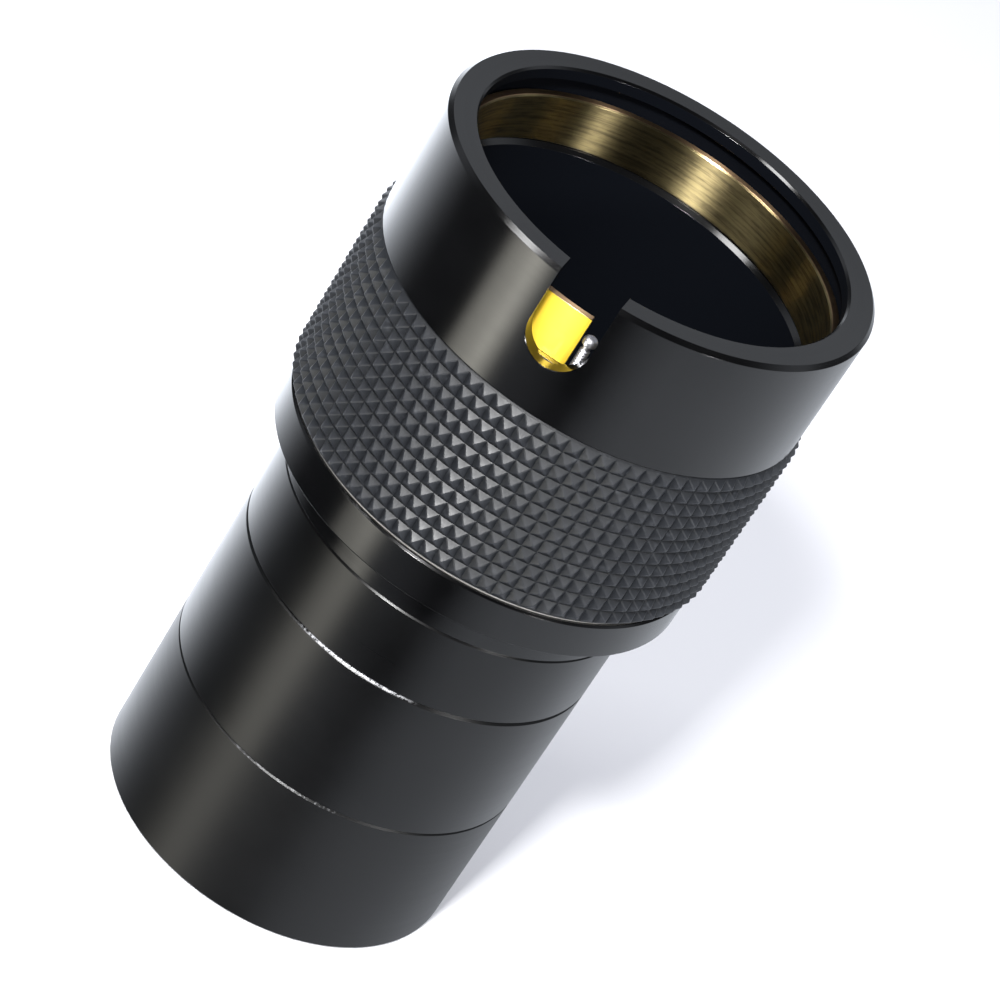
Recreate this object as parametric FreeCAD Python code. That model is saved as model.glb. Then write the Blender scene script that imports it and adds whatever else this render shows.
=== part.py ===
import FreeCAD, Part
import math
import os
from FreeCAD import Vector

# A two-inch Barlow barrel with a twist-lock eyepiece socket, standing on its nosepiece.
# Millimetres. +Z is the optical axis, pointing out of the socket. The origin is the centre
# of the nosepiece's bottom edge, and the notch in the twist sleeve faces -Y.

# ---- barrel: three turned tubes screwed end to end below the body ----
barrel_radius = 25.4          # the two-inch push-fit standard
barrel_wall = 2.5
cell_length = 22.6            # lens cell, at the bottom
middle_length = 20.9
upper_length = 11.3
neck_length = 4.86            # the same diameter, turned on the main body
thread_depth = 1.0            # joint threads sit this far inside the barrel's surface
thread_length = 4.4
thread_fit = 0.05
thread_end_gap = 0.25
seam_chamfer_upper = 0.28     # at the neck
seam_chamfer_middle = 0.5     # the widest V-groove
seam_chamfer_cell = 0.32
seam_chamfer_under = 0.12     # the small chamfer on the piece above each seam
end_chamfer = 0.35

# ---- main body: flange and socket spigot ----
socket_clearance = 0.1        # the socket takes a barrel of the same standard
socket_floor_height = 2.8     # the socket's floor above the joint thread in the neck
socket_shoulder = 3.0
spigot_wall = 2.4
flange_height = 5.44
flange_inset = 0.22
flange_chamfer = 0.25
mouth_chamfer = 0.8

# ---- twist sleeve ----
running_clearance = 0.05
axial_play = 0.05
sleeve_wall_at_grip = 1.0
sleeve_step = 0.71            # how far the bare upper part stands out past the grip's seat
shoulder_gap = 0.15           # between the spigot's top and the sleeve's inner shoulder
rim_chamfer = 0.55
rim_inner_chamfer = 0.3
lip_thickness = 1.8
lip_clearance = 0.2           # lip bore over the socket's radius
lip_gap = 2.7                 # open height between the brass ring and the lip
notch_width = 8.4
notch_above_seat = 6.25       # bare sleeve between the grip's seat and the notch
notch_below_ledge = 0.1

# ---- rubber grip ----
grip_length = 25.1
grip_fit = 0.02
grip_end_gap = 0.2
grip_base = 0.58
pyramid_height = 0.8
grip_rows = 12
grip_margin = 0.25            # plain edge above and below the rows

# ---- split brass ring and its anchor screw ----
ring_clearance = 0.25         # ring bore over the socket's radius
ring_thickness = 1.2
ring_height = 7.2
ring_recess_gap = 0.35        # ring to sleeve; the screw's head reaches past it into the notch
ring_chamfer = 0.25
ring_gap = 4.4                # between the ring's two ends
ring_end_gap = 0.18           # from the screw's head to the ring's end
anchor_head_radius = 0.95
anchor_head_gap = 0.17        # from the screw's head to the notch's wall at rest
anchor_head_rounding = 0.52   # radius of the head's top edge
anchor_head_height = 2.5
anchor_head_base = 2.6        # underside of the head above the ledge
anchor_thread_radius = 0.7
anchor_depth = 5.0
anchor_drill_runout = 1.0     # the drill starts this far above the ledge
anchor_wall_inset = 1.0       # screw axis outside the socket's wall
screw_fit = 0.03

# ---- guide screws and glide washer ----
guide_count = 3
guide_radius = 1.5
guide_height = 12.9           # above the flange
guide_groove_depth = 1.1
guide_groove_play = 0.1
guide_tip_gap = 0.15
guide_socket_radius = 0.75    # hexagon key socket, across its corners
guide_socket_depth = 0.9
washer_thickness = 0.3
washer_width = 0.9

# ---- optics in the lens cell ----
filter_thread_wall = 1.8
filter_thread_length = 5.5
filter_mouth_chamfer = 0.4
retainer_gap = 0.2            # between the filter thread's end and the retainer
retainer_thread_depth = 0.4   # the retainer's radius past the lens bore
retainer_thickness = 1.9
retainer_width = 2.0
retainer_slot = 2.0
pressure_ring_thickness = 0.5
cell_wall = 2.9               # around the lenses
lens_fit = 0.05
lens_land = 1.6               # ring of glass edge that each seat bears on
crown_centre = 2.2
crown_inner_curve = 95.0
crown_outer_curve = 130.0
flint_centre = 3.6
flint_outer_curve = 260.0
foil_thickness = 0.12
seat_thickness = 1.2

# ---- light baffles ----
baffle_thickness = 1.0
baffle_width = 3.2
baffle_edge = 0.15            # thickness left at the knife edge
baffle_fit = 0.03
lower_baffle_place = 0.5      # share of the middle tube's clear bore
upper_baffle_place = 0.75

# ---- heights, from the bottom up ----
cell_top = cell_length
middle_top = cell_top + middle_length
upper_top = middle_top + upper_length
flange_bottom = upper_top + neck_length
flange_top = flange_bottom + flange_height
socket_floor = upper_top + thread_length + socket_floor_height
washer_top = flange_top + washer_thickness
sleeve_bottom = washer_top + axial_play
grip_bottom = sleeve_bottom + grip_end_gap
grip_top = grip_bottom + grip_length
seat_top = grip_top + grip_end_gap
notch_bottom = seat_top + notch_above_seat
ledge_z = notch_bottom + notch_below_ledge
shoulder_z = ledge_z + shoulder_gap
ring_top = ledge_z + ring_height
lip_bottom = ring_top + lip_gap
rim_top = lip_bottom + lip_thickness

# ---- radii, from the axis out ----
bore_radius = barrel_radius - barrel_wall
male_radius = barrel_radius - thread_depth - thread_fit
female_radius = barrel_radius - thread_depth
socket_radius = barrel_radius + socket_clearance
spigot_radius = socket_radius + spigot_wall
sleeve_bore = spigot_radius + running_clearance
seat_radius = sleeve_bore + sleeve_wall_at_grip
sleeve_radius = seat_radius + sleeve_step
flange_radius = sleeve_radius - flange_inset
grip_inner = seat_radius + grip_fit
grip_root = grip_inner + grip_base
grip_tip = grip_root + pyramid_height
ring_inner = socket_radius + ring_clearance
ring_outer = ring_inner + ring_thickness
recess_radius = ring_outer + ring_recess_gap
lip_radius = socket_radius + lip_clearance
anchor_radius = socket_radius + anchor_wall_inset
anchor_offset = notch_width / 2 - anchor_head_gap - anchor_head_radius
ring_end_offset = anchor_offset - anchor_head_radius - ring_end_gap
groove_floor = spigot_radius - guide_groove_depth
guide_z = flange_top + guide_height
filter_thread_radius = barrel_radius - filter_thread_wall
lens_bore = barrel_radius - cell_wall
lens_radius = lens_bore - lens_fit
retainer_radius = lens_bore + retainer_thread_depth


def turned(points):
    """Solid of revolution about Z from a closed outline of (radius, height) points."""
    corners = [Vector(r, 0, z) for r, z in points]
    face = Part.Face(Part.makePolygon(corners + corners[:1]))
    return face.revolve(Vector(0, 0, 0), Vector(0, 0, 1), 360)


def rod(radius, length, base, direction=Vector(0, 0, 1)):
    return Part.makeCylinder(radius, length, base, direction)


def on_notch_side(offset, radius, z):
    """Point at a radius from the axis on the -Y side, offset sideways from the notch's centre."""
    return Vector(offset, -math.sqrt(radius ** 2 - offset ** 2), z)


def sag(curve, radius):
    """Depth of a spherical surface of radius curve across a lens of the given radius."""
    return curve - math.sqrt(curve ** 2 - radius ** 2)


def barrel_tube(bottom, top, top_chamfer, bottom_chamfer):
    """One barrel tube: a male thread on top, a female thread below, chamfers that make the seams."""
    male_top = top + thread_length - thread_end_gap
    female_top = bottom + thread_length
    return turned([
        (female_radius, bottom),
        (barrel_radius - bottom_chamfer, bottom),
        (barrel_radius, bottom + bottom_chamfer),
        (barrel_radius, top - top_chamfer),
        (barrel_radius - top_chamfer, top),
        (male_radius, top),
        (male_radius, male_top),
        (bore_radius, male_top),
        (bore_radius, female_top),
        (female_radius, female_top),
    ])


def main_body():
    """Flange with the neck under it and the socket spigot above, in one turned piece."""
    body = turned([
        (female_radius, upper_top),
        (barrel_radius - seam_chamfer_under, upper_top),
        (barrel_radius, upper_top + seam_chamfer_under),
        (barrel_radius, flange_bottom),
        (flange_radius - flange_chamfer, flange_bottom),
        (flange_radius, flange_bottom + flange_chamfer),
        (flange_radius, flange_top - flange_chamfer),
        (flange_radius - flange_chamfer, flange_top),
        (spigot_radius, flange_top),
        (spigot_radius, ledge_z),
        (socket_radius + mouth_chamfer, ledge_z),
        (socket_radius, ledge_z - mouth_chamfer),
        (socket_radius, socket_floor),
        (socket_radius - socket_shoulder, socket_floor),
        (socket_radius - socket_shoulder, upper_top + thread_length),
        (female_radius, upper_top + thread_length),
    ])
    half_groove = guide_radius + guide_groove_play
    groove = turned([
        (groove_floor, guide_z - half_groove),
        (sleeve_bore, guide_z - half_groove),
        (sleeve_bore, guide_z + half_groove),
        (groove_floor, guide_z + half_groove),
    ])
    hole_foot = on_notch_side(anchor_offset, anchor_radius, ledge_z - anchor_depth - screw_fit)
    hole = rod(anchor_thread_radius + screw_fit, anchor_depth + anchor_drill_runout, hole_foot)
    return body.cut(groove).cut(hole)


def guide_angles():
    return [90 + step * 360 / guide_count for step in range(guide_count)]


def outward(angle):
    return Vector(math.cos(math.radians(angle)), math.sin(math.radians(angle)), 0)


def twist_sleeve():
    """Rotating sleeve: seat for the grip, bare upper part, lip over the ring, and the notch."""
    sleeve = turned([
        (sleeve_bore, sleeve_bottom),
        (seat_radius, sleeve_bottom),
        (seat_radius, seat_top),
        (sleeve_radius, seat_top),
        (sleeve_radius, rim_top - rim_chamfer),
        (sleeve_radius - rim_chamfer, rim_top),
        (lip_radius + rim_inner_chamfer, rim_top),
        (lip_radius, rim_top - rim_inner_chamfer),
        (lip_radius, lip_bottom),
        (recess_radius, lip_bottom),
        (recess_radius, shoulder_z),
        (sleeve_bore, shoulder_z),
    ])
    half = notch_width / 2
    reach = sleeve_radius + 1
    across = rod(half, reach, Vector(0, 0, notch_bottom + half), Vector(0, -1, 0))
    straight = Part.makeBox(notch_width, reach, rim_top, Vector(-half, -reach, notch_bottom + half))
    sleeve = sleeve.cut(across.fuse(straight))
    for angle in guide_angles():
        start = outward(angle) * (sleeve_bore - 1) + Vector(0, 0, guide_z)
        sleeve = sleeve.cut(rod(guide_radius + screw_fit, sleeve_wall_at_grip + 2, start, outward(angle)))
    return sleeve


def rubber_grip():
    """Stretched rubber band, its outside cut into rows of ridges."""
    pitch = (grip_length - 2 * grip_margin) / grip_rows
    first = grip_bottom + grip_margin
    outline = [(grip_inner, grip_bottom), (grip_root, grip_bottom)]
    for row in range(grip_rows):
        outline.append((grip_root, first + row * pitch))
        outline.append((grip_tip, first + (row + 0.5) * pitch))
    outline.append((grip_root, first + grip_rows * pitch))
    outline.append((grip_root, grip_top))
    outline.append((grip_inner, grip_top))
    return turned(outline)


def compression_ring():
    """Split brass ring on the body's ledge, open at the anchor screw."""
    ring = turned([
        (ring_inner + ring_chamfer, ledge_z),
        (ring_outer, ledge_z),
        (ring_outer, ring_top),
        (ring_inner + ring_chamfer, ring_top),
        (ring_inner, ring_top - ring_chamfer),
        (ring_inner, ledge_z + ring_chamfer),
    ])
    opening = Part.makeBox(ring_gap, 2 * ring_outer, ring_height + 2,
                           Vector(ring_end_offset, -2 * ring_outer, ledge_z - 1))
    return ring.cut(opening)


def anchor_screw():
    """Small screw in the ledge: it holds the ring's gap and stops the sleeve at the notch's sides."""
    foot = on_notch_side(anchor_offset, anchor_radius, ledge_z - anchor_depth)
    head_foot = foot + Vector(0, 0, anchor_depth + anchor_head_base)
    shank = rod(anchor_thread_radius, anchor_depth + anchor_head_base, foot)
    head = rod(anchor_head_radius, anchor_head_height, head_foot)
    top_edge = head.Edges[0]
    for edge in head.Edges:
        if edge.CenterOfMass.z > top_edge.CenterOfMass.z:
            top_edge = edge
    head = head.makeFillet(anchor_head_rounding, [top_edge])
    return shank.fuse(head).removeSplitter()


def guide_screws():
    """Set screws through the sleeve under the grip, their tips running in the spigot's groove."""
    tip = groove_floor + guide_tip_gap
    length = seat_radius - screw_fit - tip
    screws = []
    for angle in guide_angles():
        base = outward(angle) * tip + Vector(0, 0, guide_z)
        key_base = outward(angle) * (tip + length - guide_socket_depth) + Vector(0, 0, guide_z)
        screw = rod(guide_radius, length, base, outward(angle))
        key = Part.makePolygon([
            key_base + Vector(0, 0, 1) * (guide_socket_radius * math.cos(math.radians(60 * k)))
            + Vector(0, 0, 1).cross(outward(angle)) * (guide_socket_radius * math.sin(math.radians(60 * k)))
            for k in range(7)])
        screws.append(screw.cut(Part.Face(key).extrude(outward(angle) * (guide_socket_depth + 1))))
    return Part.makeCompound(screws)


def glide_washer():
    return turned([
        (sleeve_bore, flange_top),
        (sleeve_bore + washer_width, flange_top),
        (sleeve_bore + washer_width, washer_top),
        (sleeve_bore, washer_top),
    ])


# ---- lens stack, hung down from the seat in the cell ----
seat_bore = lens_radius - lens_land
crown_edge = crown_centre + sag(crown_inner_curve, lens_radius) + sag(crown_outer_curve, lens_radius)
flint_edge = flint_centre - sag(crown_inner_curve, lens_radius) + sag(flint_outer_curve, lens_radius)
retainer_bottom = filter_thread_length + retainer_gap
retainer_top = retainer_bottom + retainer_thickness
flint_bottom = retainer_top + pressure_ring_thickness
flint_top = flint_bottom + flint_edge
crown_bottom = flint_top + foil_thickness
crown_top = crown_bottom + crown_edge


def foil_ring(inner, outer, bottom, top, curve):
    """Thin ring between two glasses, bent to the spherical face it lies on."""
    def on_face(height, radius):
        return Vector(radius, 0, height + sag(curve, outer) - sag(curve, radius))

    def arc(height):
        middle = on_face(height, (inner + outer) / 2)
        return Part.Arc(on_face(height, inner), middle, on_face(height, outer)).toShape()

    inner_side = Part.makeLine(on_face(bottom, inner), on_face(top, inner))
    outer_side = Part.makeLine(on_face(bottom, outer), on_face(top, outer))
    outline = Part.Wire(Part.__sortEdges__([arc(bottom), outer_side, arc(top), inner_side]))
    return Part.Face(outline).revolve(Vector(0, 0, 0), Vector(0, 0, 1), 360)


def lens(bottom, top, bottom_curve, top_curve):
    """A lens between two edge heights. A positive curve bulges up, a negative one down."""
    def middle(height, curve):
        depth = sag(abs(curve), lens_radius)
        return height + math.copysign(depth, curve)

    def arc(height, curve):
        half_depth = sag(abs(curve), lens_radius) - sag(abs(curve), lens_radius / 2)
        half = Vector(lens_radius / 2, 0, height + math.copysign(half_depth, curve))
        return Part.Arc(Vector(lens_radius, 0, height), half, Vector(0, 0, middle(height, curve))).toShape()

    side = Part.makeLine(Vector(lens_radius, 0, bottom), Vector(lens_radius, 0, top))
    axis = Part.makeLine(Vector(0, 0, middle(bottom, bottom_curve)), Vector(0, 0, middle(top, top_curve)))
    outline = Part.Wire(Part.__sortEdges__([side, arc(top, top_curve), axis, arc(bottom, bottom_curve)]))
    return Part.Face(outline).revolve(Vector(0, 0, 0), Vector(0, 0, 1), 360)


def lens_cell():
    """Bottom tube: filter thread at its mouth, bore and seat for the lenses above it."""
    male_top = cell_top + thread_length - thread_end_gap
    return turned([
        (filter_thread_radius + filter_mouth_chamfer, 0),
        (barrel_radius - end_chamfer, 0),
        (barrel_radius, end_chamfer),
        (barrel_radius, cell_top - seam_chamfer_cell),
        (barrel_radius - seam_chamfer_cell, cell_top),
        (male_radius, cell_top),
        (male_radius, male_top),
        (bore_radius, male_top),
        (bore_radius, crown_top + seat_thickness),
        (seat_bore, crown_top + seat_thickness),
        (seat_bore, crown_top),
        (lens_bore, crown_top),
        (lens_bore, retainer_top),
        (retainer_radius + screw_fit, retainer_top),
        (retainer_radius + screw_fit, filter_thread_length),
        (filter_thread_radius, filter_thread_length),
        (filter_thread_radius, filter_mouth_chamfer),
    ])


def flat_ring(inner, outer, bottom, top):
    return turned([(inner, bottom), (outer, bottom), (outer, top), (inner, top)])


def lens_retainer():
    """Threaded ring that holds the lenses, with two slots for a spanner."""
    ring = flat_ring(retainer_radius - retainer_width, retainer_radius, retainer_bottom, retainer_top)
    slot = Part.makeBox(2 * retainer_radius + 2, retainer_slot, retainer_thickness / 2 + 1,
                        Vector(-retainer_radius - 1, -retainer_slot / 2, retainer_bottom - 1))
    return ring.cut(slot)


def baffle(middle_z):
    """Knife-edged light stop: thick where it meets the wall, thin at its opening."""
    outer = bore_radius - baffle_fit
    return turned([
        (outer - baffle_width, middle_z),
        (outer - baffle_width / 2, middle_z - baffle_thickness / 2),
        (outer, middle_z - baffle_thickness / 2),
        (outer, middle_z + baffle_thickness / 2),
        (outer - baffle_width / 2, middle_z + baffle_thickness / 2),
        (outer - baffle_width, middle_z + baffle_edge),
    ])


def between(low, high, share):
    return low + (high - low) * share


cell_male_top = cell_top + thread_length
upper_female_top = middle_top + thread_length
lower_baffle_z = between(cell_male_top, middle_top, lower_baffle_place)
upper_baffle_z = between(upper_female_top, upper_top + thread_length, upper_baffle_place)

pieces = {
    "main_body": main_body(),
    "twist_sleeve": twist_sleeve(),
    "rubber_grip": rubber_grip(),
    "compression_ring": compression_ring(),
    "anchor_screw": anchor_screw(),
    "guide_screws": guide_screws(),
    "glide_washer": glide_washer(),
    "upper_barrel": barrel_tube(middle_top, upper_top, seam_chamfer_upper, seam_chamfer_under),
    "middle_barrel": barrel_tube(cell_top, middle_top, seam_chamfer_middle, seam_chamfer_under),
    "lens_cell": lens_cell(),
    "crown_lens": lens(crown_bottom, crown_top, crown_inner_curve, -crown_outer_curve),
    "flint_lens": lens(flint_bottom, flint_top, flint_outer_curve, crown_inner_curve),
    "foil_spacer": foil_ring(seat_bore, lens_radius, flint_top, crown_bottom, crown_inner_curve),
    "pressure_ring": flat_ring(seat_bore, lens_radius, retainer_top, flint_bottom),
    "lens_retainer": lens_retainer(),
    "lower_baffle": baffle(lower_baffle_z),
    "upper_baffle": baffle(upper_baffle_z),
}

os.makedirs("parts", exist_ok=True)
for name, shape in pieces.items():
    shape.exportStep(f"parts/{name}.step")
    box = shape.BoundBox
    print(f"{name:18s} solids {len(shape.Solids)}  valid {shape.isValid()}  volume {shape.Volume:9.1f}"
          f"  z {box.ZMin:7.2f} to {box.ZMax:7.2f}  r {max(box.XMax, box.YMax):6.2f}")

sleeve_turn = 2 * math.degrees(math.asin(anchor_offset / anchor_radius))
print(f"height {rim_top:.2f}, grip radius {grip_tip:.2f}, sleeve turn {sleeve_turn:.2f} degrees")
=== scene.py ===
# %% [markdown]
# The object is a two-inch Barlow barrel for a telescope: a black anodised nosepiece in three screwed
# tubes, a body with an open eyepiece socket, and a rotating sleeve with a rubber grip. The imported CAD
# model holds the sizes and the motion. This first cell loads it and keeps its box, which the last cell
# prints beside the box of the finished pieces.

# %% Load the frame
import bpy
import bmesh
import math
from mathutils import Matrix, Vector


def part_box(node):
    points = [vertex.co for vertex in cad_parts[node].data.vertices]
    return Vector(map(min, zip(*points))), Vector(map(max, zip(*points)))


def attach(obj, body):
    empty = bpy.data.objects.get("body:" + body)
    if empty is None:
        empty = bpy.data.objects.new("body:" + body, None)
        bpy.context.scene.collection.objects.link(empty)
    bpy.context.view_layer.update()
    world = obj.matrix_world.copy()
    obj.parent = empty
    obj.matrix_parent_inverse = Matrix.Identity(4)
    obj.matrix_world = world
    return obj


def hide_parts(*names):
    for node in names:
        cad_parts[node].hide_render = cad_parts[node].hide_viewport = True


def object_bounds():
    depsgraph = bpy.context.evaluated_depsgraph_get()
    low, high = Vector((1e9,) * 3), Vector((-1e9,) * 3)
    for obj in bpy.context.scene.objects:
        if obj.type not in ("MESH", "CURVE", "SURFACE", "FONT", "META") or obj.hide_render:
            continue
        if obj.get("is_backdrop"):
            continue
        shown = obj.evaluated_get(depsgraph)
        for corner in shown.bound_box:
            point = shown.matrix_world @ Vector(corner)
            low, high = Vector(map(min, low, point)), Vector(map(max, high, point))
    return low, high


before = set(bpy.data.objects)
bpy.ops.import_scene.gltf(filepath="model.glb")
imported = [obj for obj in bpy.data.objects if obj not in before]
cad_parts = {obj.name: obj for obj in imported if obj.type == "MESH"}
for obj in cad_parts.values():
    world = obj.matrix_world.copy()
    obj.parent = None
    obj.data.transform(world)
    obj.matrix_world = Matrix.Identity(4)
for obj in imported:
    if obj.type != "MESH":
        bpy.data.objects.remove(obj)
cad_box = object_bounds()
scene = bpy.context.scene

# %% [markdown]
# Heights and outer radii come from the boxes of the CAD nodes. Walls, chamfers and bores inside a part
# don't show in a box, so they are named here in millimetres, as a turner would have them on a drawing.

# %% Measures, in millimetres
MM = 0.001


def bottom_of(node):
    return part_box(node)[0].z / MM


def top_of(node):
    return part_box(node)[1].z / MM


def radius_of(node):
    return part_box(node)[1].x / MM


barrel_radius = radius_of("lens_cell")
sleeve_radius = radius_of("twist_sleeve")
flange_radius = radius_of("main_body")
grip_tip = radius_of("rubber_grip")
ring_outer = radius_of("compression_ring")
lens_radius = radius_of("crown_lens")
retainer_radius = radius_of("lens_retainer")
washer_radius = radius_of("glide_washer")

cell_seam = bottom_of("middle_barrel")
middle_seam = bottom_of("upper_barrel")
neck_seam = bottom_of("main_body")
flange_top = bottom_of("glide_washer")
sleeve_bottom = bottom_of("twist_sleeve")
grip_bottom = bottom_of("rubber_grip")
grip_top = top_of("rubber_grip")
ledge_z = top_of("main_body")
ring_top = top_of("compression_ring")
rim_top = top_of("twist_sleeve")

tube_wall = 2.5
barrel_bore = barrel_radius - tube_wall
female_radius = barrel_radius - 1.0
male_radius = female_radius - 0.05
thread_length = 4.4
thread_end_gap = 0.25
socket_radius = 25.5
socket_depth = 35.3
socket_floor = ledge_z - socket_depth
socket_shoulder = 3.0
spigot_wall = 2.4
spigot_radius = socket_radius + spigot_wall
sleeve_bore = spigot_radius + 0.05
seat_radius = sleeve_bore + 1.0
seat_top = grip_top + 0.2
recess_radius = ring_outer + 0.35
lip_radius = socket_radius + 0.2
lip_bottom = ring_top + 2.7
neck_height = 4.86
flange_bottom = neck_seam + neck_height
notch_width = 8.4
notch_bottom = ledge_z - 0.1
print(f"rim {rim_top:.2f} mm up, grip {2 * grip_tip:.2f} mm across")
print(f"seams at {cell_seam:.2f} and {middle_seam:.2f} mm")

# %% [markdown]
# Nearly every part was made on a lathe, so one helper does what the lathe does: it takes half an outline
# and spins it round the optical axis. A corner may carry a small radius. Real edges are never perfectly
# sharp, and the radius is what catches a thin line of light. Two guard points beside each rounded corner
# keep the flat next to it shading flat.

# %% Helper: round the corners of an outline
ARC_STEPS = 4
GUARD = 0.03


def rounded(outline):
    """Rounds the corners of a closed outline of (radius, height, corner radius) points, in millimetres."""
    done = []
    for index, (r, z, fillet) in enumerate(outline):
        corner = Vector((r, z))
        before = Vector(outline[index - 1][:2]) - corner
        after = Vector(outline[(index + 1) % len(outline)][:2]) - corner
        if fillet <= 0:
            done.append(corner)
            continue
        half = before.angle(after) / 2
        room = 0.49 * min(before.length, after.length) - GUARD
        reach = min(fillet / math.tan(half), room)
        fillet = reach * math.tan(half)
        before.normalize()
        after.normalize()
        centre = corner + (before + after).normalized() * fillet / math.sin(half)
        start = corner + before * reach - centre
        end = corner + after * reach - centre
        done.append(corner + before * (reach + GUARD))
        for step in range(ARC_STEPS + 1):
            swing = start.angle(end) * step / ARC_STEPS
            side = math.sin(start.angle(end))
            mixed = start * math.sin(start.angle(end) - swing) + end * math.sin(swing)
            done.append(centre + mixed / side)
        done.append(corner + after * (reach + GUARD))
    return done


# %% [markdown]
# The spin itself: each outline point becomes a ring of vertices, and a point on the axis becomes one
# vertex, so that a lens closes at its middle. Edges that turn by more than 35 degrees are marked sharp.

# %% Helper: spin an outline
SHARP_ANGLE = math.radians(35)
AROUND = 256
MERGE_DISTANCE = 0.002


def mesh_object(name, vertices, faces):
    mesh = bpy.data.meshes.new(name)
    mesh.from_pydata([tuple(v) for v in vertices], [], faces)
    piece = bpy.data.objects.new(name, mesh)
    scene.collection.objects.link(piece)
    return piece


def around_axis(r, angle, z):
    """A vertex, in metres, from a radius and height in millimetres and an angle from the front."""
    return (r * math.sin(angle) * MM, -r * math.cos(angle) * MM, z * MM)


def skin(loops, count):
    """Faces between neighbouring closed loops of vertices, with count vertices in each loop."""
    faces = []
    for loop in range(loops - 1):
        for step in range(count):
            here, beside = loop * count + step, loop * count + (step + 1) % count
            faces.append([here, beside, beside + count, here + count])
    return faces


def tidy_mesh(piece):
    """Merges doubles, turns every face outwards and marks the sharp edges."""
    edit = bmesh.new()
    edit.from_mesh(piece.data)
    bmesh.ops.remove_doubles(edit, verts=edit.verts, dist=MERGE_DISTANCE * MM)
    bmesh.ops.recalc_face_normals(edit, faces=edit.faces)
    edit.to_mesh(piece.data)
    edit.free()
    piece.data.shade_smooth()
    piece.data.set_sharp_from_angle(angle=SHARP_ANGLE)
    return piece


def turned(name, outline, around=AROUND):
    """A closed ring or disc made by spinning the outline round the Z axis."""
    profile = rounded(outline)
    vertices = []
    rings = []
    for r, z in profile:
        if r < 1e-6:
            rings.append([len(vertices)] * around)
            vertices.append((0, 0, z * MM))
            continue
        rings.append(list(range(len(vertices), len(vertices) + around)))
        for step in range(around):
            vertices.append(around_axis(r, 2 * math.pi * step / around, z))
    faces = []
    for lower, upper in zip(rings, rings[1:] + rings[:1]):
        for step in range(around):
            following = (step + 1) % around
            face = [lower[step], lower[following], upper[following], upper[step]]
            face = list(dict.fromkeys(face))
            if len(face) > 2:
                faces.append(face)
    piece = tidy_mesh(mesh_object(name, vertices, faces))
    print(f"{name}: {len(piece.data.polygons)} faces")
    return piece


def cut(piece, cutter):
    """Takes the cutter away from the piece, as a milling cutter does, and throws the cutter away."""
    boolean = piece.modifiers.new("cut", "BOOLEAN")
    boolean.operation = "DIFFERENCE"
    boolean.solver = "EXACT"
    boolean.object = cutter
    evaluated = piece.evaluated_get(bpy.context.evaluated_depsgraph_get())
    mesh = bpy.data.meshes.new_from_object(evaluated)
    piece.modifiers.clear()
    piece.data = mesh
    bpy.data.objects.remove(cutter)
    return tidy_mesh(piece)


# %% [markdown]
# The barrel is three tubes screwed together. Each has a male thread on top and a female thread below, and
# the chamfers where two tubes meet make the V-grooves that show on the outside. The groove above the
# middle tube is the widest. The tubes get 0.05 mm corner radii, about what a deburring pass leaves.

# %% The barrel tubes
EDGE = 0.05
FINE_CHAMFER = 0.12


def barrel_tube(name, bottom, top, top_chamfer):
    return turned(name, [
        (female_radius, bottom, 0),
        (barrel_radius - FINE_CHAMFER, bottom, EDGE / 2),
        (barrel_radius, bottom + FINE_CHAMFER, EDGE),
        (barrel_radius, top - top_chamfer, EDGE),
        (barrel_radius - top_chamfer, top, EDGE),
        (male_radius, top, 0),
        (male_radius, top + thread_length - thread_end_gap, EDGE),
        (barrel_bore, top + thread_length - thread_end_gap, EDGE),
        (barrel_bore, bottom + thread_length, EDGE),
        (female_radius, bottom + thread_length, 0),
    ])


upper_tube = barrel_tube("upper_tube", middle_seam, neck_seam, 0.28)
middle_tube = barrel_tube("middle_tube", cell_seam, middle_seam, 0.5)

# %% [markdown]
# The lens cell is the bottom tube. Its mouth carries the fine thread that takes a two-inch filter, which
# is a row of V-shaped grooves 0.75 mm apart, so a loop writes them into the outline. Above the thread are
# the retaining ring's bore, the lens bore and the seat that the top glass stands against.

# %% The lens cell
filter_radius = 23.6
filter_length = bottom_of("lens_retainer") - 0.2
filter_pitch = 0.75
filter_depth = 0.42
half_crest = 0.08
filter_chamfer = 0.4
foot_chamfer = 0.35
cell_chamfer = 0.32
lens_seat = top_of("crown_lens")
seat_wall = 1.2
lens_bore = lens_radius + 0.05
seat_bore = lens_radius - 1.6
retainer_bore = retainer_radius + 0.03


def lens_cell_outline():
    outline = [
        (filter_radius + filter_chamfer, 0, EDGE),
        (barrel_radius - foot_chamfer, 0, EDGE),
        (barrel_radius, foot_chamfer, EDGE),
        (barrel_radius, cell_seam - cell_chamfer, EDGE),
        (barrel_radius - cell_chamfer, cell_seam, EDGE),
        (male_radius, cell_seam, 0),
        (male_radius, cell_seam + thread_length - thread_end_gap, EDGE),
        (barrel_bore, cell_seam + thread_length - thread_end_gap, EDGE),
        (barrel_bore, lens_seat + seat_wall, EDGE),
        (seat_bore, lens_seat + seat_wall, EDGE),
        (seat_bore, lens_seat, EDGE),
        (lens_bore, lens_seat, 0),
        (lens_bore, top_of("lens_retainer"), EDGE),
        (retainer_bore, top_of("lens_retainer"), 0),
        (retainer_bore, filter_length, EDGE),
        (filter_radius, filter_length, EDGE),
    ]
    turns = int((filter_length - filter_chamfer - 0.5) / filter_pitch)
    for turn in range(turns, 0, -1):
        crest = filter_chamfer + turn * filter_pitch
        outline.append((filter_radius, crest + half_crest, 0))
        outline.append((filter_radius, crest - half_crest, 0))
        outline.append((filter_radius + filter_depth, crest - filter_pitch / 2, 0))
    outline.append((filter_radius, filter_chamfer, EDGE))
    return outline


lens_cell_tube = turned("lens_cell_tube", lens_cell_outline())

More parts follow.
